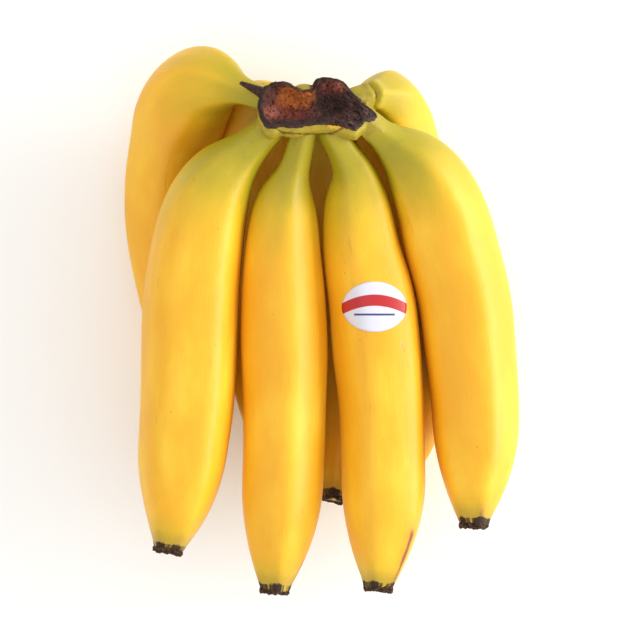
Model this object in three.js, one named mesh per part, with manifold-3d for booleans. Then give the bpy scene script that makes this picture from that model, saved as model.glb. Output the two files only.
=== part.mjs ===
// A hand of eight bananas as it is cut from the plant: two rows of four fingers on one crown.
// It lies on its rounded back. The crown is at +Y with its cut face up, the finger ends are at -Y,
// and every finger curves upwards. Millimetres, +Z up, with the table at Z = 0.
import * as THREE from "three";
import { mergeVertices } from "three/addons/utils/BufferGeometryUtils.js";
import Module from "manifold-3d";

// Driving dimensions of one finger
const SIDES = 20; // round a finger, four to each of its five ridges
const RING_STEP = 7.5; // the furthest that two rings of a finger stand apart
const CLOSE_STEP = 4.5; // the same where the body narrows to its blossom end
const BODY_RIDGE = 0.085; // how far the flats lie inside the ridges, as a share of the radius
const END_RIDGE = 0.13; // the same at the neck and at the blossom end
const BLOSSOM_RADIUS = 6.9; // where the dried blossom end sits on the finger
const BLOSSOM_LENGTH = 4;
const SEAM = 0.3; // clearance between pieces that meet face to face

// Driving dimensions of the crown
const CROWN_HEIGHT = 27; // from the underside to the rim of the cut face
const CROWN_RIM_Z = 82.5;
const CUT_TILT = 0.22; // the cut face falls away towards +Y by this slope
const CUT_SLOPE = 0.4; // and towards +X by this one, to the right of CUT_SLOPE_FROM
const CUT_SLOPE_FROM = 9;
const CUT_HOLLOW = 4; // depth of the dried hollow in the cut face
const SPUR = { from: [-19, 91, 77.5], to: [-32.5, 97, 79.5], radius: 2.6 }; // a dried bract left on the crown

// The paper label
const LABEL_WIDTH = 27;
const LABEL_HEIGHT = 21;
const LABEL_THICK = 0.5;
const LABEL_LIFT = 0.5;
const LABEL_AT = 84; // along the third front finger, from its neck
const LABEL_TURN = -2; // round that finger, in degrees from its top

// Each finger's centre line runs from inside the crown to its blossom end, x to the right and y to the crown.
// girth gives the radius on the ridges at distances along that line, before the taper to the blossom end,
// taper is how long the narrowing is, root is where the finger leaves the crown, and roll turns its first
// ridge from the top, in degrees.
const FINGERS = [
  {
    name: "front_1",
    line: [
      [-17, 83, 74], [-25.5, 74.5, 70.5], [-33, 68, 67.5], [-41, 60, 64.5], [-48, 46, 61.5],
      [-51.7, 29, 59.5],
      [-54.2, 8, 58.5], [-55.7, -33, 58.5], [-57.7, -55, 59], [-59.8, -76, 60.5], [-63.6, -98, 63],
    ],
    girth: [
      [0, 6.8], [12, 7], [22, 9.8], [34, 15.2], [51, 18.9], [70, 20.5], [95, 21.4], [130, 20.9], [155, 19.9],
    ],
    taper: 42, root: 10.5, roll: 38,
  },
  {
    name: "front_2",
    line: [
      [-5.5, 84, 75.5], [-7.8, 74, 71], [-10.4, 64.5, 66], [-14.5, 52, 61],
      [-16.2, 29, 56], [-15.9, 8, 54], [-15.4, -34, 52], [-16.5, -76, 54], [-19.5, -115.5, 58],
    ],
    girth: [
      [0, 5.6], [22, 6.2], [27, 7.4], [38, 13.6], [59, 16.8], [80, 18.7], [100, 19.4],
      [125, 18.5], [160, 18.1],
    ],
    taper: 42, root: 11, roll: 12,
  },
  {
    name: "front_3",
    line: [
      [3.8, 84, 75.5], [7, 74, 71], [12.2, 65.5, 67], [14.8, 60, 64.5], [15.7, 50, 60.5], [18, 29.5, 56],
      [22.4, 8.5, 54], [24.4, -12.5, 52.5], [26.4, -34, 52], [27.1, -55, 53], [27.2, -76, 55],
      [24.8, -114.5, 59],
    ],
    girth: [
      [0, 5.8], [16, 6.2], [28, 10], [40, 14.4], [60, 17.1], [82, 19.3], [104, 19.8], [125, 19], [160, 18.7],
    ],
    taper: 42, root: 11, roll: 50,
  },
  {
    name: "front_4",
    line: [
      [15, 84.5, 74.5], [21.5, 79.5, 72], [28, 74.5, 69], [39, 66, 63.5], [49.5, 49, 57],
      [55.1, 29.5, 53.5], [60.6, 8.5, 51.5], [63.1, -12.5, 50.5], [65.2, -34, 50.5], [65.5, -55, 52.5],
      [64.2, -88, 57.5],
    ],
    girth: [
      [0, 6.2], [14, 6.4], [22, 9.8], [31, 14.6], [52, 19.2], [72, 20.9], [100, 20.9], [130, 20], [150, 19.4],
    ],
    taper: 42, root: 13, roll: 20,
  },
  {
    name: "back_1",
    line: [
      [-20, 90, 72], [-32, 95, 68], [-46, 100, 57], [-56.7, 94.3, 44],
      [-62.9, 83.5, 31.5], [-67.9, 63, 20.1], [-68.2, 42, 16.1], [-64.3, 20, 16.4], [-58.6, -2, 18.2],
      [-47, -47, 26.5],
    ],
    girth: [
      [0, 5.3], [13, 5.4], [18, 7.5], [24, 12.2], [32, 16.2], [41, 19.1], [50, 20.4], [63, 20.1],
      [78, 18.4], [110, 18.4],
    ],
    taper: 50, root: 7.5, roll: 0,
  },
  {
    name: "back_2",
    line: [
      [-14, 88, 66], [-21.5, 94.5, 56], [-24, 95, 42.5], [-27.5, 85, 29],
      [-28.4, 64, 20.5], [-26.5, 26, 16], [-25, -6, 14.8], [-23.4, -26, 17], [-20, -46, 21], [-17, -76, 28],
    ],
    girth: [[0, 6], [20, 6.2], [30, 10.8], [46, 16], [60, 17], [90, 16.8], [120, 16.8]],
    taper: 60, root: 16, roll: 2,
  },
  {
    name: "back_3",
    line: [
      [0, 88, 64], [2, 95, 54], [3, 95, 41], [3.3, 85, 28],
      [4.4, 64, 20], [8, 26, 15.8], [10.2, -6, 14.8], [11, -26, 17], [10, -50, 23], [5.5, -79, 31],
    ],
    girth: [[0, 6], [20, 6.2], [30, 9.5], [46, 14], [68, 16.2], [90, 16.8], [120, 16.8]],
    taper: 60, root: 16, roll: -3,
  },
  {
    name: "back_4",
    line: [
      [8, 88, 71.5], [18.5, 92, 70.5], [24, 93.5, 65.5], [27.5, 93.5, 55.5], [30, 90, 45.5],
      [32.1, 84.5, 35.5],
      [35.3, 75, 26], [39.5, 60, 19.5], [42.5, 40, 15.7], [44.6, 15, 16.2], [45.6, -13, 18.5],
      [38.5, -48, 23], [30, -75, 29.5],
    ],
    girth: [
      [0, 6], [17, 6.2], [22, 9.4], [28, 12.8], [40, 15.8], [52, 17.4], [64, 17.6], [80, 17.6], [110, 17.8],
    ],
    taper: 55, root: 18, roll: 3,
  },
];

// The cut face's rim seen from above: wide at the left, pinched, then a narrower lobe that runs out to
// the right
const CUT_RIM = [
  [-25, 87], [-24, 92], [-21, 96.5], [-16, 97.5], [-12, 96], [-7, 93.4], [-3, 94.2], [-1.3, 98.5],
  [4, 99.3], [10, 97], [13, 93], [18, 88.5], [23.5, 83.8], [18, 82], [14, 78], [9.5, 79.5],
  [3, 80.8], [-5, 80], [-11, 79], [-16, 80], [-20, 78], [-23.5, 82],
];
const CUT_STEPS = 40; // points round each level of the crown

// The crown's levels, from the underside up: height below the rim, and how wide and how far forward each
// one is
const CROWN_LEVELS = [
  { below: 1, wide: 0.5, forward: -1 },
  { below: 0.86, wide: 0.8, forward: -1 },
  { below: 0.62, wide: 0.96, forward: 0.5 },
  { below: 0.4, wide: 1, forward: 3 },
  { below: 0.22, wide: 1.02, forward: 4.5 },
  { below: 0.1, wide: 1.02, forward: 3 },
  { below: 0.02, wide: 1, forward: 0.5 },
  { below: 0, wide: 0.98, forward: 0 },
];

const PEEL = { color: 0xf2bd35, roughness: 0.48, metalness: 0 };
const CROWN_SKIN = { color: 0x5b3322, roughness: 0.85, metalness: 0 };
const DRIED = { color: 0x33231a, roughness: 0.9, metalness: 0 };
const PAPER = { color: 0xf1eeee, roughness: 0.4, metalness: 0 };

const wasm = await Module();
wasm.setup();

// A closed body through rings of equally many points, each end closed by a fan to its own centre point
function loft(rings, firstCentre, lastCentre) {
  const count = rings[0].length;
  const points = [...rings.flat(), firstCentre, lastCentre];
  const faces = [];
  for (let ring = 0; ring < rings.length - 1; ring++) {
    for (let side = 0; side < count; side++) {
      const next = (side + 1) % count;
      const a = ring * count + side;
      const b = ring * count + next;
      faces.push(a, a + count, b, b, a + count, b + count);
    }
  }
  const first = rings.length * count;
  const lastRing = (rings.length - 1) * count;
  for (let side = 0; side < count; side++) {
    const next = (side + 1) % count;
    faces.push(first, side, next);
    faces.push(first + 1, lastRing + next, lastRing + side);
  }
  return new THREE.BufferGeometry().setFromPoints(points).setIndex(faces);
}

function meanPoint(points) {
  const sum = new THREE.Vector3();
  points.forEach((point) => sum.add(point));
  return sum.divideScalar(points.length);
}

function toSolid(geometry) {
  const bare = geometry.clone();
  bare.deleteAttribute("normal");
  bare.deleteAttribute("uv");
  const merged = mergeVertices(bare);
  return new wasm.Manifold(
    new wasm.Mesh({
      numProp: 3,
      vertProperties: new Float32Array(merged.attributes.position.array),
      triVerts: new Uint32Array(merged.index.array),
    }),
  );
}

function toGeometry(solid) {
  const made = solid.getMesh();
  return new THREE.BufferGeometry()
    .setAttribute("position", new THREE.BufferAttribute(made.vertProperties, 3))
    .setIndex(new THREE.BufferAttribute(made.triVerts, 1));
}

// The centre line as a smooth curve, with the direction of the finger's top at each millimetre. The top is
// straight up at the blossom end and is carried back to the neck without twisting.
function centreLine(finger) {
  const points = finger.line.map((point) => new THREE.Vector3(...point));
  const curve = new THREE.CatmullRomCurve3(points, false, "centripetal");
  curve.arcLengthDivisions = 400;
  const length = curve.getLength();
  const steps = Math.ceil(length);
  const tops = new Array(steps + 1);
  let top = new THREE.Vector3(0, 0, 1);
  for (let step = steps; step >= 0; step--) {
    const along = curve.getTangentAt(step / steps);
    top = top.clone().addScaledVector(along, -top.dot(along)).normalize();
    tops[step] = top;
  }
  return { curve, length, steps, tops };
}

// 0 at the start of a stretch and 1 at its end, quick at first and then levelling off
function easeOut(value, start, end, power) {
  const share = THREE.MathUtils.clamp((value - start) / (end - start), 0, 1);
  return 1 - (1 - share) ** power;
}

// A smooth value through given places, level at the first and last of them and never past its neighbours
function through(places, at) {
  const last = places.length - 1;
  if (at <= places[0][0]) return places[0][1];
  if (at >= places[last][0]) return places[last][1];
  const rise = (from) => (places[from + 1][1] - places[from][1]) / (places[from + 1][0] - places[from][0]);
  const slope = (index) => {
    if (index === 0 || index === last) return 0;
    const before = rise(index - 1);
    const after = rise(index);
    return before * after <= 0 ? 0 : (2 * before * after) / (before + after);
  };
  const from = places.findIndex((place, index) => at < places[index + 1][0]);
  const span = places[from + 1][0] - places[from][0];
  const t = (at - places[from][0]) / span;
  const start = (1 + 2 * t) * (1 - t) ** 2 * places[from][1] + t * (1 - t) ** 2 * span * slope(from);
  const end = t * t * (3 - 2 * t) * places[from + 1][1] + t * t * (t - 1) * span * slope(from + 1);
  return start + end;
}

// A finger's radius on its ridges, at a distance along its line
function girth(finger, length, distance) {
  const full = through(finger.girth, distance);
  const taper = easeOut(length - distance, BLOSSOM_LENGTH, BLOSSOM_LENGTH + finger.taper, 1.9);
  return BLOSSOM_RADIUS + (full - BLOSSOM_RADIUS) * taper;
}

// How the radius falls between two ridges of a five-sided section
function ridgeShape(turn, depth) {
  const wedge = (2 * Math.PI) / 5;
  const fromRidge = turn - wedge * Math.round(turn / wedge);
  const flat = Math.cos(wedge / 2) / Math.cos(wedge / 2 - Math.abs(fromRidge));
  return 1 - (depth * (1 - flat)) / (1 - Math.cos(wedge / 2));
}

// A point on the skin, by the distance along the finger and the angle round it from its top, lifted off it
// if asked
function skinPoint(finger, line, distance, angle, lift = 0) {
  const share = THREE.MathUtils.clamp(distance / line.length, 0, 1);
  const centre = line.curve.getPointAt(share);
  const along = line.curve.getTangentAt(share);
  const place = share * line.steps;
  const low = Math.min(Math.floor(place), line.steps - 1);
  const top = line.tops[low].clone().lerp(line.tops[low + 1], place - low);
  top.addScaledVector(along, -top.dot(along)).normalize();
  const side = top.clone().cross(along);
  const radius = girth(finger, line.length, distance);
  const fullness = (radius - BLOSSOM_RADIUS) / (finger.girth[finger.girth.length - 1][1] - BLOSSOM_RADIUS);
  const depth = THREE.MathUtils.lerp(END_RIDGE, BODY_RIDGE, THREE.MathUtils.clamp(fullness, 0, 1));
  const reach = radius * ridgeShape(angle - THREE.MathUtils.degToRad(finger.roll), depth) + lift;
  const point = centre.addScaledVector(top, Math.cos(angle) * reach);
  point.addScaledVector(side, Math.sin(angle) * reach);
  point.z = Math.max(point.z, 0); // the skin gives a little where it lies on the table
  return point;
}

function skinRing(finger, line, distance) {
  const ring = [];
  const start = THREE.MathUtils.degToRad(finger.roll);
  for (let side = 0; side < SIDES; side++) {
    ring.push(skinPoint(finger, line, distance, start + (side * 2 * Math.PI) / SIDES));
  }
  return ring;
}

// Rings from one distance to another, closer together over the last stretch of the taper
function skinRings(finger, line, from, to) {
  const taperStart = Math.max(from, Math.min(to, line.length - 22));
  const rings = [];
  const plain = Math.ceil((taperStart - from) / RING_STEP);
  for (let ring = 0; ring < plain; ring++) {
    rings.push(skinRing(finger, line, from + ((taperStart - from) * ring) / plain));
  }
  const close = Math.max(1, Math.ceil((to - taperStart) / CLOSE_STEP));
  for (let ring = 0; ring <= close; ring++) {
    rings.push(skinRing(finger, line, taperStart + ((to - taperStart) * ring) / close));
  }
  return rings;
}

// One banana from its neck, just outside the crown, to the foot of its blossom end
function fingerGeometry(finger, line) {
  const rings = skinRings(finger, line, finger.root + SEAM, line.length - BLOSSOM_LENGTH);
  return loft(rings, meanPoint(rings[0]), meanPoint(rings[rings.length - 1]));
}

// The neck's root, which grows out of the crown and ends where the finger begins
function rootGeometry(finger, line) {
  const rings = skinRings(finger, line, 0, finger.root);
  return loft(rings, meanPoint(rings[0]), meanPoint(rings[rings.length - 1]));
}

// The dried blossom end: a five-cornered cup whose corners stand a little proud
function blossomGeometry(finger, line) {
  const start = line.length - BLOSSOM_LENGTH + SEAM;
  const profile = [
    { at: 0, wide: 0.97, corner: 0 },
    { at: 1.3, wide: 1.03, corner: 0.03 },
    { at: 2.7, wide: 1.02, corner: 0.07 },
    { at: BLOSSOM_LENGTH - SEAM, wide: 0.86, corner: 0.06 },
    { at: 2.9, wide: 0.5, corner: 0 },
  ];
  const along = line.curve.getTangentAt(1);
  const foot = line.curve.getPointAt(start / line.length);
  const base = skinRing(finger, line, start).map((point) => point.sub(foot));
  const rings = profile.map(({ at, wide, corner }) =>
    base.map((spoke, side) => {
      const onCorner = side % (SIDES / 5) === 0 ? 1 + corner : 1;
      return spoke.clone().multiplyScalar(wide * onCorner).add(foot).addScaledVector(along, at);
    }),
  );
  const hollow = foot.clone().addScaledVector(along, 2.2);
  return loft(rings, foot, hollow);
}

// The crown: a squat cushion under a tilted, hollow cut face
function crownCushion() {
  const points = CUT_RIM.map(([x, y]) => new THREE.Vector3(x, y, 0));
  const rim = new THREE.CatmullRomCurve3(points, true, "centripetal");
  const outline = rim.getSpacedPoints(CUT_STEPS).slice(0, CUT_STEPS);
  const centre = meanPoint(outline);
  const level = (wide, forward, below, sunk = 0) =>
    outline.map((point) => {
      const x = centre.x + (point.x - centre.x) * wide;
      const y = centre.y + (point.y - centre.y) * wide - forward;
      const slope = CUT_SLOPE * Math.max(0, x - CUT_SLOPE_FROM) * (1 - below);
      const z = CROWN_RIM_Z - sunk - below * CROWN_HEIGHT - (y - centre.y) * CUT_TILT - slope;
      return new THREE.Vector3(x, y, z);
    });
  const rings = CROWN_LEVELS.map(({ below, wide, forward }) => level(wide, forward, below));
  rings.push(level(0.86, 0, 0, 0.3 * CUT_HOLLOW));
  rings.push(level(0.55, 0, 0, CUT_HOLLOW));
  return loft(rings, meanPoint(rings[0]), meanPoint(rings[rings.length - 1]));
}

// The dried bract: a small spike that starts inside the crown
function spurGeometry() {
  const from = new THREE.Vector3(...SPUR.from);
  const to = new THREE.Vector3(...SPUR.to);
  const geometry = new THREE.CylinderGeometry(0.4, SPUR.radius, from.distanceTo(to), 8, 1);
  const along = to.clone().sub(from).normalize();
  const turn = new THREE.Quaternion().setFromUnitVectors(new THREE.Vector3(0, 1, 0), along);
  geometry.applyQuaternion(turn);
  const middle = from.add(to).divideScalar(2);
  return geometry.translate(middle.x, middle.y, middle.z);
}

// The label lies on the skin: an oval sheet with its own thickness
function labelGeometry(finger, line) {
  const spokes = 32;
  const middle = THREE.MathUtils.degToRad(LABEL_TURN);
  const radius = girth(finger, line.length, LABEL_AT);
  const sheetRing = (share, lift) => {
    const ring = [];
    for (let spoke = 0; spoke < spokes; spoke++) {
      const turn = (spoke * 2 * Math.PI) / spokes;
      const across = ((share * LABEL_WIDTH) / 2) * Math.cos(turn);
      const down = ((share * LABEL_HEIGHT) / 2) * Math.sin(turn);
      ring.push(skinPoint(finger, line, LABEL_AT + down, middle + across / radius, lift));
    }
    return ring;
  };
  const under = LABEL_LIFT;
  const over = LABEL_LIFT + LABEL_THICK;
  const shares = [0.22, 0.45, 0.65, 0.83, 1];
  const rings = shares.map((share) => sheetRing(share, under));
  rings.push(...shares.reverse().map((share) => sheetRing(share, over)));
  const first = skinPoint(finger, line, LABEL_AT, middle, under);
  const last = skinPoint(finger, line, LABEL_AT, middle, over);
  return loft(rings, first, last);
}

function piece(name, geometry, finish) {
  const mesh = new THREE.Mesh(geometry, new THREE.MeshStandardMaterial(finish));
  mesh.name = name;
  return mesh;
}

const hand = new THREE.Group();
const lines = new Map(FINGERS.map((finger) => [finger, centreLine(finger)]));

let crown = toSolid(crownCushion()).add(toSolid(spurGeometry()));
for (const [finger, line] of lines) {
  crown = crown.add(toSolid(rootGeometry(finger, line)));
  hand.add(piece("finger_" + finger.name, fingerGeometry(finger, line), PEEL));
  hand.add(piece("blossom_" + finger.name, blossomGeometry(finger, line), DRIED));
}
hand.add(piece("crown", toGeometry(crown), CROWN_SKIN));

const labelled = FINGERS.find((finger) => finger.name === "front_3");
hand.add(piece("label", labelGeometry(labelled, lines.get(labelled)), PAPER));

// The origin is on the table, under the middle of the whole hand
const middle = new THREE.Box3().setFromObject(hand).getCenter(new THREE.Vector3());
hand.position.set(-middle.x, -middle.y, 0);

export default hand;
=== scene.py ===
import math

import bpy
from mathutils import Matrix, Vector, noise


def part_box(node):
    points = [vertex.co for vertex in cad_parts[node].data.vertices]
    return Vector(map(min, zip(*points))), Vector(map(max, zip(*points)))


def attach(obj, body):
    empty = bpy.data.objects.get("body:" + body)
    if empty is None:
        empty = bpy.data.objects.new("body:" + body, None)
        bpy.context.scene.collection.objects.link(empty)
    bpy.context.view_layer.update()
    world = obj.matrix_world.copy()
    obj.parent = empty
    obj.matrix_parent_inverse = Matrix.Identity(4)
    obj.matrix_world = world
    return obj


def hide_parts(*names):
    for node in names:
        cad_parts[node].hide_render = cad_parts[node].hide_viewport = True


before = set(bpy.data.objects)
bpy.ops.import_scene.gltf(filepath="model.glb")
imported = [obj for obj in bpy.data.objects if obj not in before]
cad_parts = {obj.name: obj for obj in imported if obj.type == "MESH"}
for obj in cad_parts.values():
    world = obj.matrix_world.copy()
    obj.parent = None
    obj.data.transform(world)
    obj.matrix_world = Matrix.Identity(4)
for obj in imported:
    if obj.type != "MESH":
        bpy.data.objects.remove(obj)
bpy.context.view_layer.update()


# THE FINGERS. Eight bananas, each a smooth waxy peel over soft pulp, with five blunt ridges that run from
# the neck to the blossom end. They grew bent upwards from the crown in two rows of four, and ripened from
# the outer end, so the necks are still green.

FINGERS = [f"{row}_{place}" for row in ("front", "back") for place in (1, 2, 3, 4)]
NECK_START = 0.012  # the green neck begins this far inside the crown
NECK_STEPS = 2  # the neck runs on into the crown in this many steps
NECK_STEP = 0.0032
NECK_NARROWING = 0.97
TIP_REACH = 1.15  # how far the peel runs on over the blossom end, as a share of the way to its middle
TIP_NARROWING = 0.92
RING_SIDES = 20
RIDGE = (0, 0.5, 1, 0.5)  # the corner mark from one ridge to the next, five times round
RIPER = {"back_1": 15, "back_2": 30, "back_4": 18, "front_4": 4}  # millimetres less of green
SCARS = {"front_2": 13, "front_3": 24, "front_4": 5, "back_3": 9}  # millimetres of dried ridge at the tip
SCAR_SIDE = Vector((0.8, 0, 0.6))  # the way that the dried ridge faces
OTHER_PATTERN = 300  # millimetres between the places in the pattern that two fingers take
PEEL_SWELL = 0.00025  # gives back what smoothing takes off the girth
PRESSED = {"back_1": Vector((-44, 79, 30)), "back_4": Vector((18.5, 76, 31))}  # in millimetres
BULGE = 1.8  # how far a finger swells where it is pressed against the next one, in millimetres
BULGE_REACH = 14  # how far round that place it swells, in millimetres


def pick(piece):
    for other in bpy.context.selected_objects:
        other.select_set(False)
    piece.select_set(True)
    bpy.context.view_layer.objects.active = piece


def copy_of(node, name):
    piece = bpy.data.objects.new(name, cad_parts[node].data.copy())
    bpy.context.scene.collection.objects.link(piece)
    piece.data.materials.clear()
    pick(piece)
    bpy.ops.object.mode_set(mode="EDIT")
    bpy.ops.mesh.select_all(action="SELECT")
    bpy.ops.mesh.customdata_custom_splitnormals_clear()
    bpy.ops.mesh.remove_doubles(threshold=0.00001)
    bpy.ops.object.mode_set(mode="OBJECT")
    return piece


def finish_with(piece, kind, **settings):
    modifier = piece.modifiers.new(kind.lower(), kind)
    for setting, value in settings.items():
        setattr(modifier, setting, value)
    pick(piece)
    bpy.ops.object.modifier_apply(modifier=modifier.name)


def rings_of(piece):
    """The vertices ring by ring from the neck to the blossom end, with each end's middle point on its own."""
    beside = [[] for vertex in piece.data.vertices]
    for edge in piece.data.edges:
        first, second = edge.vertices
        beside[first].append(second)
        beside[second].append(first)
    middles = [index for index, near in enumerate(beside) if len(near) >= RING_SIDES - 2]
    ring = [max(middles, key=lambda index: piece.data.vertices[index].co.y)]
    seen = set(ring)
    rings = []
    while ring:
        rings.append(ring)
        following = []
        for index in ring:
            for near in beside[index]:
                if near not in seen:
                    seen.add(near)
                    following.append(near)
        ring = following
    return rings


def middle_of(piece, ring):
    return sum((piece.data.vertices[index].co for index in ring), Vector()) / len(ring)


MARKS = {
    "straight": "FLOAT_VECTOR",  # the place on the finger as if it were straight, in millimetres
    "from_crown": "FLOAT",  # the way along the finger from the crown, in millimetres
    "to_tip": "FLOAT",  # the way along the finger to its blossom end, in millimetres
    "corner": "FLOAT",  # 0 on a ridge of the finger and 1 midway to the next
    "scar": "FLOAT",  # how far up from the blossom end a ridge has dried, in millimetres
    "dry": "FLOAT",  # 1 where the crown is cut or dried
    "crease_shade": "FLOAT",  # 1 in the folds where a neck leaves the crown, where the skin is darkened as painted shade
    "rim": "FLOAT",  # 1 on the raised edge of the crown's cut
}


def add_marks(piece, values):
    for name, kind in MARKS.items():
        mark = piece.data.attributes.new(name, kind, "POINT")
        if kind == "FLOAT_VECTOR":
            mark.data.foreach_set("vector", [part for value in values[name] for part in value])
        else:
            mark.data.foreach_set("value", values[name])


def mark_finger(piece, rings, offset, riper, scar):
    """Marks each vertex for the peel's patterns, which offset moves along so that no two fingers are alike. A
    riper finger is green less far, and scar is how far up its right ridge has dried."""
    middles = [middle_of(piece, ring) for ring in rings]
    reached = [0.0]
    for before, here in zip(middles, middles[1:]):
        reached.append(reached[-1] + (here - before).length)
    values = {name: [0.0] * len(piece.data.vertices) for name in MARKS}
    values["straight"] = [(0.0, 0.0, 0.0)] * len(piece.data.vertices)
    values["corner"] = [1.0] * len(piece.data.vertices)
    top = Vector((0, 0, 1))
    for place in reversed(range(len(rings))):
        before = middles[max(place - 1, 0)]
        after = middles[min(place + 1, len(rings) - 1)]
        along = (after - before).normalized()
        top = (top - along * top.dot(along)).normalized()
        side = top.cross(along)
        spokes = {index: piece.data.vertices[index].co - middles[place] for index in rings[place]}
        way = (reached[place] + NECK_START) * 1000
        for index, spoke in spokes.items():
            values["straight"][index] = (spoke.dot(side) * 1000, spoke.dot(top) * 1000, way + offset)
            values["from_crown"][index] = way + riper
            values["to_tip"][index] = (reached[-1] - reached[place]) * 1000
        if len(spokes) != RING_SIDES:
            continue
        turns = {index: math.atan2(spoke.dot(side), spoke.dot(top)) for index, spoke in spokes.items()}
        order = sorted(spokes, key=turns.get)
        apart = len(RIDGE)
        girths = [sum(spokes[index].length for index in order[start::apart]) for start in range(apart)]
        first = girths.index(max(girths))
        right = order.index(max(order[first::apart], key=lambda index: spokes[index].dot(SCAR_SIDE)))
        for step, index in enumerate(order):
            values["corner"][index] = RIDGE[(step - first) % apart]
            if (step - right + 1) % RING_SIDES <= 2:
                values["scar"][index] = scar
    add_marks(piece, values)


def lengthen_end(piece, ring, steps, step, narrowing):
    """Draws the closed end of a finger out by a number of equal steps."""
    pick(piece)
    bpy.ops.object.mode_set(mode="EDIT")
    bpy.ops.mesh.select_mode(type="FACE")
    bpy.ops.mesh.select_all(action="DESELECT")
    bpy.ops.object.mode_set(mode="OBJECT")
    edge = set(ring)
    for face in piece.data.polygons:
        face.select = all(index in edge for index in face.vertices)
    bpy.ops.object.mode_set(mode="EDIT")
    for _ in range(steps):
        bpy.ops.mesh.extrude_region_move(TRANSFORM_OT_translate={"value": step})
        bpy.ops.transform.resize(value=(narrowing, narrowing, narrowing))
    bpy.ops.object.mode_set(mode="OBJECT")


def reshape(piece, moved):
    """Puts each vertex where moved says for its place, in millimetres, and its normal."""
    before = [(vertex.co * 1000, vertex.normal.copy()) for vertex in piece.data.vertices]
    after = [moved(spot, normal) / 1000 for spot, normal in before]
    piece.data.vertices.foreach_set("co", [part for spot in after for part in spot])
    piece.data.update()


def settled(spot, normal, pressed):
    """A spot on the peel once the finger has swelled round the place where it is pressed, and rests."""
    if pressed is not None:
        spot = spot + normal * BULGE * max(0, 1 - ((spot - pressed).length / BULGE_REACH) ** 2)
    return Vector((spot.x, spot.y, max(spot.z, 0)))


class Value:
    """A shader socket that can be used in sums."""

    def __init__(self, finish, socket):
        self.finish = finish
        self.socket = socket

    def sum(self, operation, first, second):
        return self.finish.node("Math", {"operation": operation}, {0: first, 1: second})

    def __add__(self, other):
        return self.sum("ADD", self, other)

    def __radd__(self, other):
        return self.sum("ADD", other, self)

    def __sub__(self, other):
        return self.sum("SUBTRACT", self, other)

    def __rsub__(self, other):
        return self.sum("SUBTRACT", other, self)

    def __mul__(self, other):
        return self.sum("MULTIPLY", self, other)

    def __rmul__(self, other):
        return self.sum("MULTIPLY", other, self)


class Finish:
    """One material and its nodes."""

    def __init__(self, name):
        self.material = bpy.data.materials.new(name)
        self.material.use_nodes = True
        self.tree = self.material.node_tree
        self.tree.nodes.clear()

    def node(self, kind, settings=None, inputs=None, output=0):
        made = self.tree.nodes.new("ShaderNode" + kind)
        for setting, value in (settings or {}).items():
            setattr(made, setting, value)
        for socket, value in (inputs or {}).items():
            if isinstance(value, Value):
                self.tree.links.new(value.socket, made.inputs[socket])
            else:
                made.inputs[socket].default_value = value
        return Value(self, made.outputs[output]) if made.outputs else None

    def mark(self, name, output="Fac"):
        return self.node("Attribute", {"attribute_name": name}, output=output)

    def place(self):
        """The place on the piece as it lies in the scene, in millimetres."""
        return self.stretched(self.node("TexCoord", output="Object"), (1000, 1000, 1000))

    def fade(self, value, start, end):
        """0 before start and 1 past end, eased."""
        ends = {"Value": value, "From Min": start, "From Max": end}
        return self.node("MapRange", {"interpolation_type": "SMOOTHSTEP"}, ends)

    def stretched(self, vector, stretch):
        return self.node("VectorMath", {"operation": "MULTIPLY"}, {0: vector, 1: stretch})

    def grain(self, vector, size, detail=2.0, rough=0.5):
        """Cloudy noise from 0 to 1, with lumps of about size."""
        inputs = {"Vector": vector, "Scale": 1 / size, "Detail": detail, "Roughness": rough}
        return self.node("TexNoise", None, inputs)

    def spots(self, vector, size, output="Distance"):
        """How far the nearest of a scatter of points is, or a colour of that point's own."""
        return self.node("TexVoronoi", None, {"Vector": vector, "Scale": 1 / size}, output)

    def mixed(self, amount, first, second):
        return self.node("Mix", {"data_type": "RGBA"}, {0: amount, 6: first, 7: second}, 2)

    def surface(self, colour, roughness, bump, depth, fixed):
        normal = self.node("Bump", None, {"Strength": 1.0, "Distance": depth, "Height": bump})
        inputs = {"Base Color": colour, "Roughness": roughness, "Normal": normal, **fixed}
        shader = self.node("BsdfPrincipled", None, inputs)
        self.node("OutputMaterial", None, {"Surface": shader})
        return self.material


def paint(red, green, blue):
    """A colour as a screen shows it, from 0 to 255, turned into light."""
    parts = (red / 255, green / 255, blue / 255)
    return (*(part / 12.92 if part <= 0.04045 else ((part + 0.055) / 1.055) ** 2.4 for part in parts), 1.0)


RIPE = paint(242, 184, 34)
RIPE_PALE = paint(247, 200, 56)
RIPE_DEEP = paint(236, 170, 24)
TURNING = paint(202, 172, 24)
GREEN = paint(160, 148, 20)
LEAF = paint(132, 136, 26)
BRUISE = paint(150, 92, 30)
SCAR = paint(84, 42, 22)
RUSTED = paint(196, 104, 30)
TIP_OLIVE = paint(158, 134, 40)
TIP_DARK = paint(50, 34, 24)
FRECKLE_GAP = 4.2  # millimetres from one place for a freckle to the next


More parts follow.
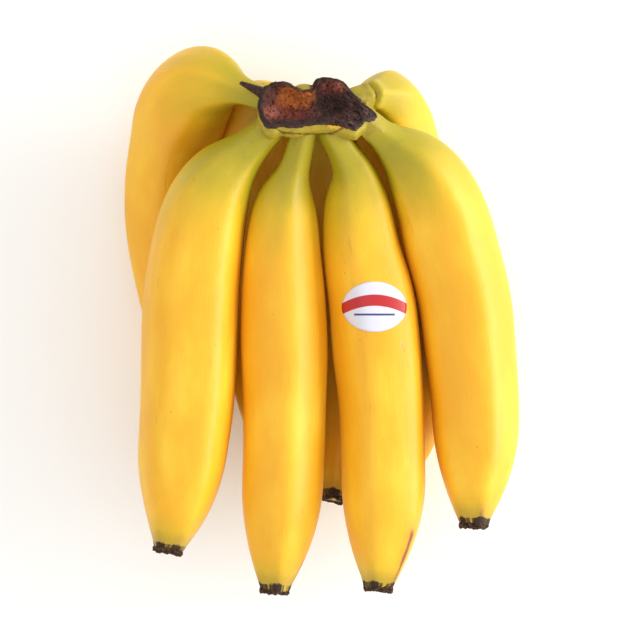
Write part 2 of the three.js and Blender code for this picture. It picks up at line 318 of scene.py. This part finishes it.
def peel_colour(peel):
    """The peel's colour, with the lengthways fibres and the clouds that its relief also uses, and how dead
    the peel is."""
    straight = peel.mark("straight", "Vector")
    from_crown = peel.mark("from_crown")
    to_tip = peel.mark("to_tip")
    corner = peel.mark("corner")
    ridge = peel.fade(corner, 0.6, 0.0)
    clouds = peel.grain(peel.stretched(straight, (1, 1, 0.4)), 15, 3)
    blotches = peel.grain(peel.stretched(straight, (1, 1, 0.6)), 4.5, 4, 0.6)
    fibres = peel.grain(peel.stretched(straight, (1, 1, 0.03)), 0.8, 3, 0.6)
    colour = peel.mixed(peel.fade(clouds, 0.34, 0.66), RIPE_DEEP, RIPE)
    colour = peel.mixed(peel.fade(clouds + fibres * 0.25, 0.66, 0.92) * 0.65, colour, RIPE_PALE)
    colour = peel.mixed(peel.fade(fibres, 0.46, 0.8) * 0.14, colour, RIPE_DEEP)
    green_edge = from_crown + (clouds - 0.5) * 36 + ridge * 5
    colour = peel.mixed(peel.fade(green_edge, 74, 36) * 0.85, colour, TURNING)
    colour = peel.mixed(peel.fade(green_edge, 50, 20) * 0.9, colour, GREEN)
    colour = peel.mixed(peel.fade(green_edge, 34, 14) * peel.fade(blotches, 0.5, 0.68) * 0.45, colour, LEAF)
    colour = peel.mixed(peel.fade(to_tip + clouds * 8, 19, 7) * 0.6, colour, TURNING)
    freckle_place = peel.stretched(straight, (1, 1, 0.7))
    near = peel.spots(freckle_place, FRECKLE_GAP)
    chosen = peel.node("SeparateXYZ", None, {0: peel.spots(freckle_place, FRECKLE_GAP, "Color")}, "X")
    some = peel.fade(chosen - peel.fade(from_crown, 70, 20) * 0.3, 0.72, 0.86)
    colour = peel.mixed(peel.fade(near, 0.1, 0.035) * some * 0.6, colour, BRUISE)
    fine = peel.fade(peel.spots(straight, 1.5), 0.17, 0.05) * peel.fade(blotches, 0.46, 0.64)
    colour = peel.mixed(fine * 0.2, colour, BRUISE)
    rub = peel.grain(peel.stretched(straight, (1, 1, 0.1)), 2.2, 4, 0.7)
    colour = peel.mixed(peel.fade(rub, 0.6, 0.7) * ridge * 0.3, colour, BRUISE)
    line = peel.fade(corner + (blotches - 0.5) * 0.3, 0.22, 0.06)
    dried = peel.fade(peel.mark("scar") - to_tip + (blotches - 0.5) * 7, 0, 3)
    colour = peel.mixed(line * dried * 0.95, colour, SCAR)
    singed = peel.fade(corner, 0.6, 0.1) * peel.fade(peel.mark("scar") - to_tip, -6, 4)
    colour = peel.mixed(singed * 0.35, colour, RUSTED)
    crumbs = peel.grain(straight, 1.1, 3, 0.7)
    end = to_tip + corner * 1.2 + (blotches - 0.5) * 3 + (crumbs - 0.5) * 3
    colour = peel.mixed(peel.fade(end, 8, 2) * 0.55, colour, TIP_OLIVE)
    dead = peel.fade(end, 1.6, 0.5)
    return peel.mixed(dead, colour, TIP_DARK), fibres, clouds, dead


def make_peel():
    peel = Finish("banana_peel")
    colour, fibres, clouds, dead = peel_colour(peel)
    straight = peel.mark("straight", "Vector")
    pores = peel.grain(straight, 0.5, 2)
    relief = fibres * 0.5 + clouds * 1.2 + pores * 0.25
    roughness = 0.38 + fibres * 0.1 + clouds * 0.06 + dead * 0.4
    return peel.surface(colour, roughness, relief, 0.0002, {"Specular IOR Level": 0.45})


PEEL = make_peel()
fingers = {}
for place, which in enumerate(FINGERS):
    finger = copy_of("finger_" + which, "banana_" + which)
    rings = rings_of(finger)
    mark_finger(finger, rings, place * OTHER_PATTERN, RIPER.get(which, 0), SCARS.get(which, 0))
    inwards = (middle_of(finger, rings[1]) - middle_of(finger, rings[2])).normalized()
    lengthen_end(finger, rings[0] + rings[1], NECK_STEPS, inwards * NECK_STEP, NECK_NARROWING)
    rings = rings_of(finger)
    low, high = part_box("blossom_" + which)
    to_blossom = (low + high) / 2 - middle_of(finger, rings[-1])
    lengthen_end(finger, rings[-1] + rings[-2], 1, to_blossom * TIP_REACH, TIP_NARROWING)
    bpy.ops.object.mode_set(mode="EDIT")
    bpy.ops.mesh.select_all(action="SELECT")
    bpy.ops.mesh.tris_convert_to_quads(face_threshold=math.pi, shape_threshold=math.pi)
    bpy.ops.object.mode_set(mode="OBJECT")
    finish_with(finger, "SUBSURF", levels=2, render_levels=2)
    bpy.ops.object.mode_set(mode="EDIT")
    bpy.ops.mesh.select_all(action="SELECT")
    bpy.ops.transform.shrink_fatten(value=PEEL_SWELL)
    bpy.ops.object.mode_set(mode="OBJECT")
    reshape(finger, lambda spot, normal: settled(spot, normal, PRESSED.get(which)))
    pick(finger)
    bpy.ops.object.shade_smooth()
    finger.data.materials.append(PEEL)
    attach(finger, "root")
    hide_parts("finger_" + which)
    fingers[which] = finger


# THE CROWN. The cushion that the fingers grow from, green skin over woody fibre. A knife took it off the
# stalk, and the cut has dried: a raised dark rim, a hollow orange-brown heart, and grey torn fibre that
# runs down to the right. A dry pointed bract still stands out at the left.

CUT_RIM = [  # the edge of the cut, seen from above, in millimetres
    (-24.4, 86.8), (-23.4, 91.8), (-20.4, 96.3), (-15.4, 97.3), (-11.4, 95.8), (-6.4, 93.2), (-2.4, 94),
    (-0.7, 98.3), (4.6, 99.1), (10.6, 96.8), (13.6, 92.8), (18.6, 88.3), (24.1, 83.6), (18.6, 81.8),
    (14.6, 77.8), (10.1, 79.3), (3.6, 80.6), (-4.4, 79.8), (-10.4, 78.8), (-15.4, 79.8), (-19.4, 77.8),
    (-22.9, 81.8),
]
DIP = ((-1.2, 96), (2.6, 4))  # the dip in the far edge of the cut, and how far it reaches each way
HOLLOWS = [((-11, 88), (10, 7), 1.6), ((4.5, 87), (8, 5), 2.2)]  # where, how far each way, and how deep
KNOBS = [((6, 94), (6, 4), 1.3), ((-19, 84), (4, 4), 0.7)]  # where, how far each way, and how high
FIBRE_RUNS = (0.76, -0.65)  # the way that the torn fibre runs, seen from above
BRACT_FROM = Vector((-18.4, 90.8, 77.5))
BRACT_TO = Vector((-31.9, 96.8, 79.5))
BRACT_INSIDE = 3.0  # all within this many millimetres of the bract's middle line is bract
BRACT_OUTSIDE = 3.6
CROWN_TOP = 84.4  # no rough spot stands higher than this, in millimetres
CROWN_VOXEL = 0.0004
SEAMS = [  # the folds where necks leave the crown, seen from above, in millimetres
    [(-18.9, 78.3), (-14.4, 76), (-8.2, 75.5), (-0.8, 75.5), (6.2, 76.1), (11.1, 78.4)],
    [(21, 97.8), (23, 95.4), (24.2, 90.8), (25.1, 87.5), (24.2, 85.5)],
]
SEAM_WIDTH = 0.45
SEAM_DEPTH = 0.35
LUMPS = [  # the flesh under the thin far edge of the cut and in its dip: middles and half sizes, in metres
    ((-0.0125, 0.0932, 0.0762), (0.0065, 0.0027, 0.0027)),
    ((-0.0144, 0.095, 0.0785), (0.0042, 0.002, 0.0016)),
    ((-0.0058, 0.0936, 0.0768), (0.0048, 0.003, 0.0026)),
    ((0.0003, 0.0956, 0.0778), (0.0027, 0.0028, 0.0024)),
]
FAR_FROM_TIP = 200  # further from a blossom end than any of the tip's colours reach, in millimetres


def off_line(x, y, line):
    """How far a point lies from a line of points, seen from above, in millimetres."""
    nearest = 1e9
    for (ax, ay), (bx, by) in zip(line, line[1:]):
        share = ((x - ax) * (bx - ax) + (y - ay) * (by - ay)) / ((bx - ax) ** 2 + (by - ay) ** 2)
        share = min(max(share, 0), 1)
        nearest = min(nearest, math.hypot(x - ax - share * (bx - ax), y - ay - share * (by - ay)))
    return nearest


def inside_rim(x, y):
    """How far a point lies inside the cut's rim, seen from above, in millimetres, and below 0 outside it."""
    rim = CUT_RIM + CUT_RIM[:1]
    inside = False
    for (ax, ay), (bx, by) in zip(rim, rim[1:]):
        if (ay > y) != (by > y) and x < ax + (bx - ax) * (y - ay) / (by - ay):
            inside = not inside
    return off_line(x, y, rim) if inside else -off_line(x, y, rim)


def rim_height(x, y):
    """How high the cut's edge stands: lower at its far side, and on the right, where the fibre tore."""
    return 82.5 - (y - 88) * 0.22 - max(0, x - 9.6) * 0.4


def rise(value, start, end):
    """0 at start and 1 at end, eased, and level past them."""
    share = min(max((value - start) / (end - start), 0), 1)
    return share * share * (3 - 2 * share)


def hump(spot, at, reach):
    """1 over a point seen from above, and 0 at an oval that reaches so far round it."""
    return max(0, 1 - ((spot.x - at[0]) / reach[0]) ** 2 - ((spot.y - at[1]) / reach[1]) ** 2)


def band(value, middle, width):
    """1 at the middle, and less to both sides."""
    return math.exp(-(((value - middle) / width) ** 2))


def how_cut(spot, normal, depth, height):
    """1 on the cut, which ends in a ragged skirt just outside its edge and runs further down at its far side
    and in the dip."""
    upwards = rise(normal.z, -0.4, 0.0)
    rag = noise.noise(spot * 0.35) * 0.5 + noise.noise(spot * 1.1) * 0.3
    far = rise(spot.y, 88, 91)
    within = rise(depth, 0.1 - 0.8 * far, 0.7 - 0.8 * far) * upwards
    skirt = rise(height + rag, -1.5 - 2 * far, -0.7 - 2 * far)
    skirt = skirt * rise(depth, -2.2 + 1.6 * far, -1.2 + far)
    dip = rise(hump(spot, *DIP), 0.05, 0.3) * rise(height, -15, -13)
    return max(max(skirt, within) * rise(height, -9, -7), dip * upwards)


def how_near_bract(spot):
    """1 on the dried bract and 0 off it and at its root, where it is still green."""
    way = BRACT_TO - BRACT_FROM
    share = min(max((spot - BRACT_FROM).dot(way) / way.length_squared, 0), 1)
    away = (spot - BRACT_FROM.lerp(BRACT_TO, share)).length
    return rise(away, BRACT_OUTSIDE, BRACT_INSIDE) if share > 0.25 else 0


def how_near_seam(spot):
    """1 in the thin folds where necks leave the crown, on its upper side only."""
    away = min(off_line(spot.x, spot.y, line) for line in SEAMS) + noise.noise(spot * 0.6) * 0.3
    return band(away, 0, SEAM_WIDTH) * rise(spot.z, 50, 58)


def torn_fibre(spot):
    """The torn flank's cords, which run down to the right."""
    right, down = FIBRE_RUNS
    across = spot.x * -down + spot.y * right
    along = spot.x * right + spot.y * down
    thick = noise.noise((across * 1.1, along * 0.12, 5)) * 1.1
    thin = noise.noise((across * 2.6, along * 0.3, 9)) * 0.6
    return thick + thin


def cut_relief(spot, depth, height):
    """How far the cut's rough face stands above the plain crown, in millimetres."""
    top = rise(depth, -0.8, 0.4) * rise(height, -9, -5)
    if top == 0:
        return 0
    rough = noise.fractal(Vector((spot.x, spot.y, 80)) * 0.42, 0.55, 2.0, 5) * 1.1
    edge = band(depth, 0.9, 0.9) * 0.9
    dish = sum(hump(spot, at, reach) * deep for at, reach, deep in HOLLOWS)
    knob = sum(hump(spot, at, reach) * high for at, reach, high in KNOBS)
    torn = torn_fibre(spot) * rise(spot.x, 9, 13)
    return top * (rough + edge - dish * rise(depth, 2, 5) + knob + torn)


crown = copy_of("crown", "banana_crown")
for at, reach in LUMPS:
    bpy.ops.object.mode_set(mode="EDIT")
    bpy.ops.mesh.primitive_uv_sphere_add(segments=32, ring_count=16, radius=1, location=at, scale=reach)
    bpy.ops.object.mode_set(mode="OBJECT")
finish_with(crown, "REMESH", mode="VOXEL", voxel_size=CROWN_VOXEL)
stepped = iter([vertex.co * 1000 for vertex in crown.data.vertices])
finish_with(crown, "SMOOTH", factor=0.5, iterations=7)
values = {name: [] for name in MARKS}


def weathered(spot, normal):
    """Where a spot on the crown goes as the cut dries, with the spot's marks added to the values. Smoothing
    has filled the crown's folds, so a spot that it lifted is in one."""
    lifted = (spot - next(stepped)).dot(normal)
    depth = inside_rim(spot.x, spot.y)
    height = spot.z - rim_height(spot.x, spot.y)
    cut = how_cut(spot, normal, depth, height)
    bract = how_near_bract(spot)
    seam = how_near_seam(spot) * (1 - cut)
    values["dry"].append(max(cut, bract))
    # The crease mark is painted shade: it darkens the folds that smoothing lifted and the seams where necks
    # leave the crown.
    values["crease_shade"].append(max(rise(lifted, 0.02, 0.1) * (1 - cut), seam))
    values["rim"].append(band(depth, 0.3, 0.8) * cut)
    values["straight"].append((spot.x, spot.z, spot.y))
    values["from_crown"].append(20 + 0.12 * (spot.y - 80))
    values["to_tip"].append(FAR_FROM_TIP)
    values["corner"].append(1)
    values["scar"].append(0)
    lump = noise.noise(spot * 0.28) * 0.3 + cut_relief(spot, depth, height)
    lip = band(depth, 0.2, 1.0) * rise(height, -3, -1) * 0.5
    after = spot + normal * (bract * 0.45 + lip + 0.12 - seam * SEAM_DEPTH)
    after.z = min(after.z + lump, CROWN_TOP)
    return after


reshape(crown, weathered)
finish_with(crown, "SMOOTH", factor=0.4, iterations=1)
add_marks(crown, values)

HEART = paint(192, 106, 34)
EMBER = paint(146, 68, 32)
FLESH = paint(164, 94, 70)
RUST = paint(118, 52, 42)
BARK = paint(86, 48, 40)
CHAR = paint(42, 26, 22)
ASH = paint(128, 104, 96)
HUSK = paint(168, 146, 44)
STAINED = paint(132, 108, 36)
# the painted shade in the folds where necks leave the crown
FOLD_SHADE = paint(92, 62, 22)


def make_cut_crown():
    cut = Finish("cut_crown")
    skin, fibres, clouds, _ = peel_colour(cut)
    place = cut.place()
    wander = cut.grain(place, 3, 4, 0.65)
    flecks = cut.grain(place, 0.8, 3, 0.7)
    pits = cut.fade(cut.spots(place, 1.9) + (flecks - 0.5) * 1.1 + (wander - 0.5) * 0.6, 0.3, 0.08)
    right, down = FIBRE_RUNS
    across = cut.node("VectorMath", {"operation": "DOT_PRODUCT"}, {0: place, 1: (-down, right, 0.2)}, "Value")
    along = cut.node("VectorMath", {"operation": "DOT_PRODUCT"}, {0: place, 1: (right, down, 0)}, "Value")
    cords = cut.grain(cut.node("CombineXYZ", None, {"X": across, "Y": along * 0.1}), 0.75, 4, 0.7)

    def patch(at, reach):
        """1 round a point seen from above, with a cloudy edge about where it reaches."""
        near = cut.node("VectorMath", {"operation": "SUBTRACT"}, {0: place, 1: (*at, 0)})
        near = cut.stretched(near, (1 / reach[0], 1 / reach[1], 0))
        far = cut.node("VectorMath", {"operation": "LENGTH"}, {0: near}, "Value")
        return cut.fade(far + (wander - 0.5) * 1.6, 1.3, 0.55)

    colour = cut.mixed(cut.fade(wander, 0.36, 0.62), CHAR, BARK)
    colour = cut.mixed(patch((-12, 85), (11, 4)) * 0.85, colour, RUST)
    colour = cut.mixed(patch((-11, 90), (9, 6)) * 0.95, colour, EMBER)
    colour = cut.mixed(patch((-8.5, 91.5), (7.5, 4.5)), colour, HEART)
    colour = cut.mixed(patch((-20.5, 91.5), (3.5, 4.5)) * 0.8, colour, BARK)
    colour = cut.mixed(patch((-19.5, 84.5), (3.2, 3)) * 0.7, colour, FLESH)
    colour = cut.mixed(patch((6, 94.5), (6, 3.5)) * 0.85, colour, RUST)
    # Pink flecks on the right of the knob: partly the cut flesh's own colour, partly a painted highlight
    # where the knob faces the lamp at the right.
    colour = cut.mixed(patch((9, 95), (3.5, 2)) * cut.fade(flecks, 0.35, 0.6), colour, FLESH)
    colour = cut.mixed(patch((5, 87.5), (7.5, 5)) * 0.85, colour, CHAR)
    flank = cut.fade(cut.node("SeparateXYZ", None, {0: place}, "X") + (wander - 0.5) * 6, 9.5, 13)
    colour = cut.mixed(flank * 0.6, colour, BARK)
    colour = cut.mixed(flank * cut.fade(cords, 0.42, 0.68) * 0.85, colour, ASH)
    colour = cut.mixed(flank * cut.fade(cords, 0.42, 0.28) * 0.8, colour, CHAR)
    colour = cut.mixed(pits * 0.7, colour, CHAR)
    colour = cut.mixed(cut.fade(flecks, 0.54, 0.72) * (1 - flank) * 0.55, colour, FLESH)
    colour = cut.mixed(cut.fade(flecks, 0.46, 0.3) * 0.6, colour, BARK)
    dry = cut.mark("dry")
    dried = cut.fade(dry + (flecks - 0.5) * 0.3, 0.3, 0.6)
    scorched = dried * cut.fade(dry + (flecks - 0.5) * 0.2, 0.97, 0.6)
    colour = cut.mixed(scorched * 0.8, colour, CHAR)
    colour = cut.mixed(cut.fade(cut.mark("rim") + (flecks - 0.5) * 0.7, 0.35, 0.8) * 0.8, colour, CHAR)
    skin = cut.mixed(0.5 + clouds * 0.3, skin, HUSK)
    skin = cut.mixed(cut.fade(wander, 0.46, 0.7) * 0.5, skin, STAINED)
    skin = cut.mixed(patch((7, 79), (3.6, 1.7)) * 0.7, skin, RIPE)
    # Painted shade: the skin darkens to brown in the folds where necks leave the crown.
    skin = cut.mixed(cut.fade(cut.mark("crease_shade") + (wander - 0.5) * 0.5, 0.35, 0.8) * 0.75, skin, FOLD_SHADE)
    colour = cut.mixed(dried, skin, colour)
    relief = flecks * dried * 1.6 + cords * flank * dried * 2.2 - pits * dried * 1.5
    relief = relief + fibres * 0.3 + clouds * 0.5
    roughness = 0.46 + dried * 0.3
    return cut.surface(colour, roughness, relief, 0.0007, {"Specular IOR Level": 0.4})


pick(crown)
bpy.ops.object.shade_smooth()
crown.data.materials.append(make_cut_crown())
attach(crown, "root")
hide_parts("crown")


# THE BLOSSOM ENDS. The dried foot of each flower, a blunt five-cornered button of nearly black, brittle
# tissue that still sits on the end of its finger.

SOOT = paint(38, 27, 20)
UMBER = paint(98, 70, 42)


def make_blossom():
    dried = Finish("dried_blossom")
    crumbs = dried.grain(dried.place(), 1.1, 4, 0.7)
    colour = dried.mixed(dried.fade(crumbs, 0.42, 0.66), SOOT, UMBER)
    return dried.surface(colour, 0.82 + crumbs * 0.1, crumbs, 0.0007, {"Specular IOR Level": 0.25})


def shrivelled(spot, normal):
    return spot + normal * (noise.fractal(spot * 0.4, 0.8, 2.0, 3) * 0.8 - 0.3)


BLOSSOM = make_blossom()
for which in FINGERS:
    button = copy_of("blossom_" + which, "blossom_end_" + which)
    finish_with(button, "SUBSURF", levels=3, render_levels=3)
    reshape(button, shrivelled)
    pick(button)
    bpy.ops.object.shade_smooth()
    button.data.materials.append(BLOSSOM)
    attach(button, "root")
    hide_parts("blossom_" + which)


# THE LABEL. A small oval paper sticker, coated and printed with plain bands, pressed by hand onto the
# third front finger and held by its own gum.

low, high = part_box("label")
LABEL_AT = (low + high) / 2
LABEL_WIDE = 0.0134  # half its width, from left to right
LABEL_TALL = 0.0104  # half its height, from top to bottom
PAPER = paint(216, 214, 223)
PRINT_RED = paint(184, 30, 36)
PRINT_BLUE = paint(54, 60, 124)
LABEL_RINGS = 12  # rings of faces, so that the flat paper can bend with the peel
LABEL_RING = 0.0008
PAPER_THICK = 0.00016
GUM_THICK = 0.00012
LAID_FROM = 0.01  # the paper starts this far above the peel

bpy.ops.object.select_all(action="DESELECT")
bpy.ops.mesh.primitive_circle_add(
    vertices=96, radius=1, fill_type="NGON", location=(LABEL_AT.x, LABEL_AT.y, high.z + LAID_FROM)
)
label = bpy.context.object
label.name = "paper_label"
bpy.ops.transform.resize(value=(LABEL_WIDE, LABEL_TALL, 1))
bpy.ops.object.transform_apply(location=True, rotation=True, scale=True)
bpy.ops.object.mode_set(mode="EDIT")
for _ in range(LABEL_RINGS):
    bpy.ops.mesh.inset(thickness=LABEL_RING)
bpy.ops.mesh.poke()
bpy.ops.object.mode_set(mode="OBJECT")
printed = label.data.uv_layers.new(name="print")
for loop in label.data.loops:
    flat = label.data.vertices[loop.vertex_index].co - LABEL_AT
    printed.data[loop.index].uv = (flat.x / LABEL_WIDE, flat.y / LABEL_TALL)
finish_with(
    label, "SHRINKWRAP", target=fingers["front_3"], wrap_method="PROJECT", use_project_z=True,
    use_negative_direction=True, use_positive_direction=False, offset=GUM_THICK,
)
finish_with(label, "SOLIDIFY", thickness=PAPER_THICK, offset=1)


def make_label():
    paper = Finish("coated_paper")
    across = paper.node("UVMap", {"uv_map": "print"})
    right = paper.node("SeparateXYZ", None, {0: across}, "X")
    up = paper.node("SeparateXYZ", None, {0: across}, "Y")
    arch = up + right * right * 0.35
    stripe = paper.fade(arch, 0.02, 0.05) * paper.fade(arch, 0.5, 0.47)
    line = paper.fade(up, -0.36, -0.34) * paper.fade(up, -0.26, -0.28) * paper.fade(right * right, 0.4, 0.38)
    colour = paper.mixed(stripe, PAPER, PRINT_RED)
    colour = paper.mixed(line, colour, PRINT_BLUE)
    place = paper.place()
    roughness = 0.34 + 0.1 * paper.grain(place, 2)
    return paper.surface(colour, roughness, paper.grain(place, 0.6), 0.00004, {})


pick(label)
bpy.ops.object.shade_smooth()
label.data.materials.append(make_label())
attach(label, "root")
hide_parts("label")


# THE TABLE AND THE LIGHT. A plain pale table in a white room, with a wide soft lamp at the right like a
# window, a faint one overhead to the left, and a camera that looks straight down.

TABLE_WIDE = 6
TABLE_GAP = 0.0003  # the table lies this far below the resting fingers
LAMPS_FACE = Vector((0, 0, 0.04))
ROOM_LIGHT = 0.98
CAMERA_AT = (0.00057, -0.00024, 0.858)
CAMERA_LENS = 107.16
CAMERA_SENSOR = 36

bpy.ops.object.select_all(action="DESELECT")
bpy.ops.mesh.primitive_plane_add(size=TABLE_WIDE, location=(0, 0, -TABLE_GAP))
table = bpy.context.object
table.name = "table"


def make_table():
    top = Finish("pale_table")
    grain = top.grain(top.node("TexCoord", output="Object"), 0.002)
    return top.surface(paint(250, 250, 248), 0.7, grain, 0.00005, {"Specular IOR Level": 0.2})


table.data.materials.append(make_table())


def add_lamp(name, place, wide, tall, power, tint):
    bpy.ops.object.light_add(type="AREA", location=place)
    lamp = bpy.context.object
    lamp.name = name
    lamp.data.shape = "RECTANGLE"
    lamp.data.size = wide
    lamp.data.size_y = tall
    lamp.data.energy = power
    lamp.data.color = tint
    lamp.rotation_euler = (LAMPS_FACE - Vector(place)).to_track_quat("-Z", "Y").to_euler()


add_lamp("right_window", place=(0.95, 0.12, 0.34), wide=1.0, tall=0.5, power=11, tint=(1.0, 1.0, 0.98))
add_lamp("ceiling_lamp", place=(-0.3, 0.3, 1.3), wide=0.8, tall=0.8, power=1.0, tint=(1.0, 1.0, 1.0))
world = bpy.data.worlds.new("soft_room")
bpy.context.scene.world = world
world.use_nodes = True
white = world.node_tree.nodes["Background"]
white.inputs["Color"].default_value = (1.0, 1.0, 1.0, 1.0)
white.inputs["Strength"].default_value = ROOM_LIGHT
bpy.context.scene.view_settings.view_transform = "Standard"

bpy.ops.object.camera_add(location=CAMERA_AT, rotation=(0, 0, 0))
camera = bpy.context.object
camera.data.lens = CAMERA_LENS
camera.data.sensor_width = CAMERA_SENSOR
bpy.context.scene.camera = camera
